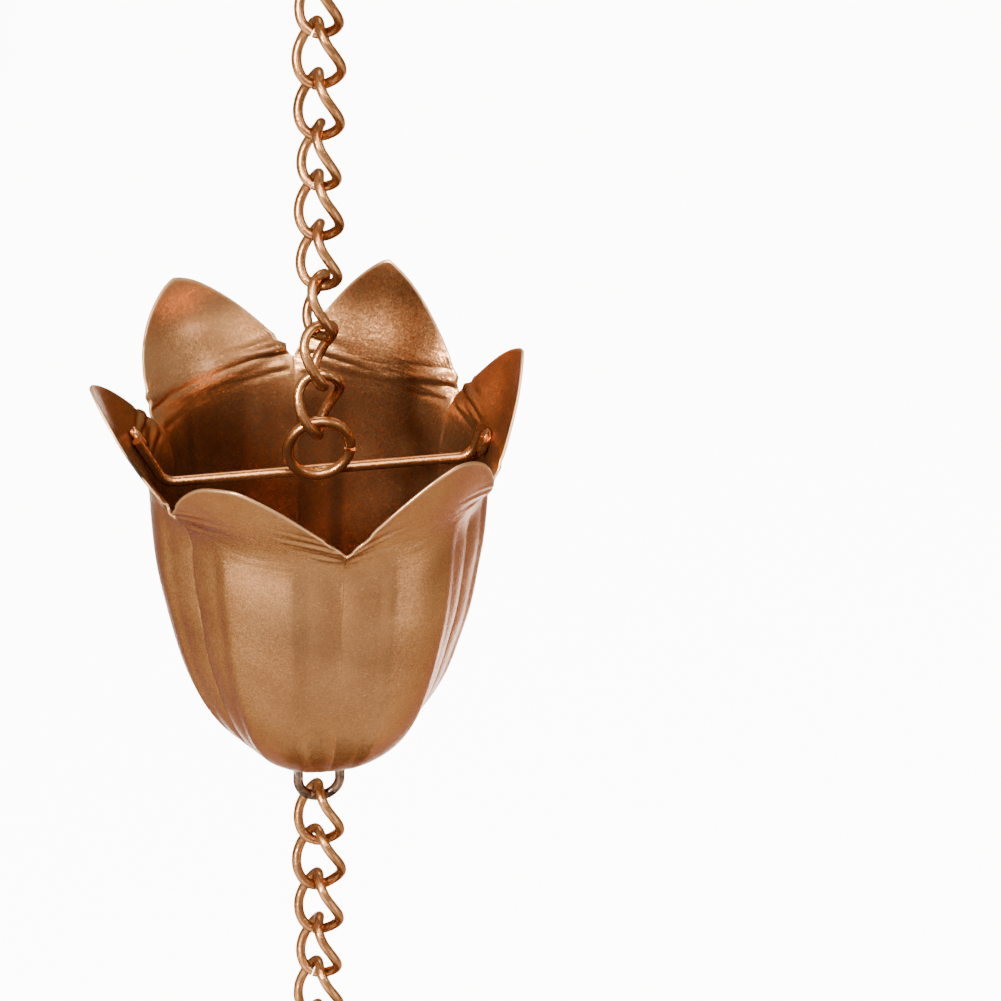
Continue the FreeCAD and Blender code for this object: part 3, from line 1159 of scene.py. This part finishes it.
@dataclass
class Studio:
    """A plain pale floor, soft lights and the camera."""

    floor_hex: str = "#F4F3F1"
    floor_dull_hex: str = "#F1F0EE"
    floor_stops: Span = (0.3, 0.7)
    floor_cloud_scale: float = 0.8
    floor_cloud_detail: float = 2.0
    floor_roughness: float = 0.9
    floor_half_width: float = 14.0
    floor_drop: float = 0.06
    floor_light_place: Span = (0.07, 1.2)
    floor_light_height: float = 0.5
    floor_light_size: Span = (0.6, 1.3)
    floor_light_power: float = 31.0
    floor_light_spread_deg: float = 26.0
    sky_hex: str = "#FFFFFF"
    sky_strength: float = 0.75
    elevation_deg: float = 34.0
    azimuth_deg: float = 1.4
    distance: float = 1.6
    pixels: float = 1001.0
    pixels_per_mm: float = 4.7
    sensor_mm: float = 36.0
    cup_pixel: Span = (319.0, 452.0)

    @property
    def floor_level(self) -> float:
        """The floor's height, in metres."""
        return CAD_BOX[0][2] - self.floor_drop

    def floor(self) -> None:
        """Lays the floor under the chain."""
        made, tree, shader = new_material("matt_white_studio_floor")
        place = add_node(tree, "TexCoord").outputs["Object"]
        # Matt painted board: pale, with the faintest unevenness of tone.
        cloud = add_node(tree, "TexNoise", {"Vector": place, "Scale": self.floor_cloud_scale,
                                            "Detail": self.floor_cloud_detail})
        stops = list(zip(self.floor_stops, (self.floor_dull_hex, self.floor_hex)))
        tone = colour_ramp(tree, cloud.outputs["Fac"], stops)
        tree.links.new(tone, shader.inputs["Base Color"])
        shader.inputs["Roughness"].default_value = self.floor_roughness
        low = self.floor_level
        half = self.floor_half_width
        corners = np.array([(-half, -half, low), (half, -half, low), (half, half, low), (-half, half, low)])
        board = make_mesh("floor", corners, np.array([[0, 1, 2, 3]]))
        set_material(board, made)

    def lights(self) -> None:
        """Sets the sky's even light, the softboxes and the light on the floor behind the chain."""
        world = bpy.data.worlds.new("studio_white")
        world.use_nodes = True
        background = world.node_tree.nodes["Background"]
        background.inputs["Color"].default_value = linear(self.sky_hex)
        background.inputs["Strength"].default_value = self.sky_strength
        bpy.context.scene.world = world
        for softbox in SOFTBOXES:
            softbox.hang()
        low = self.floor_level
        above = (*self.floor_light_place, low + self.floor_light_height)
        below = (*self.floor_light_place, low)
        Softbox("gridded_floor_light", above, below, self.floor_light_size, self.floor_light_power,
                self.floor_light_spread_deg).hang()

    def camera(self, target: Vector) -> None:
        """Stands the camera where the close-up was taken from.

        Args:
            target: The middle of the close-up cup's ring of notches.
        """
        lift = math.radians(self.elevation_deg)
        lens = bpy.data.cameras.new("camera")
        lens.sensor_width = self.sensor_mm
        lens.lens = self.pixels_per_mm * self.distance / MM * self.sensor_mm / self.pixels
        made = bpy.data.objects.new("camera", lens)
        side = math.radians(self.azimuth_deg)
        toward = Vector((-math.sin(side) * math.cos(lift), math.cos(side) * math.cos(lift), -math.sin(lift)))
        turn = toward.to_track_quat("-Z", "Y").to_matrix()
        middle = self.pixels / 2
        lens.shift_x = (middle - self.cup_pixel[0]) / self.pixels
        lens.shift_y = (self.cup_pixel[1] - middle) / self.pixels
        made.matrix_world = Matrix.Translation(target - toward * self.distance) @ turn.to_4x4()
        bpy.context.scene.collection.objects.link(made)
        bpy.context.scene.camera = made
        log.info("camera: lens %.0f mm", lens.lens)


def main() -> None:
    """Builds the pieces in order and reports each one."""
    logging.basicConfig(level=logging.INFO, format="%(name)s: %(message)s")
    # Sheet: a warm satin brown with fine sparkle, with a painted highlight where the cut edge shows and painted
    # shade in the folds.
    sheet_paint = SheetPaint("copper_bronze_flake_paint_on_sheet", "#A27248", "#99683F", "#905F38", 0.32).material()
    # Wire: redder and glossier, so that round wire carries a narrow light line.
    wire_paint = FlakePaint("copper_flake_paint_on_wire", "#AC7748", "#9C673B", "#82512C", 0.27).material()
    # Eyes: grey-brown and patchy, with dark patches and glints of steel.
    eye_paint = WornPaint("rubbed_copper_paint_on_steel_wire", "#8C6B54", "#604838", "#3A2C24", 0.3).material()
    cups = [FlowerCup(number) for number in range(1, CUP_COUNT + 1)]
    for cup in cups:
        cup.dress(sheet_paint)
        Welds(cup).dress(wire_paint)
    WireWork(wire_paint, eye_paint).dress()
    studio = Studio()
    studio.floor()
    studio.lights()
    studio.camera(cups[CLOSE_UP_CUP - 1].origin)


if __name__ == "__main__":
    main()
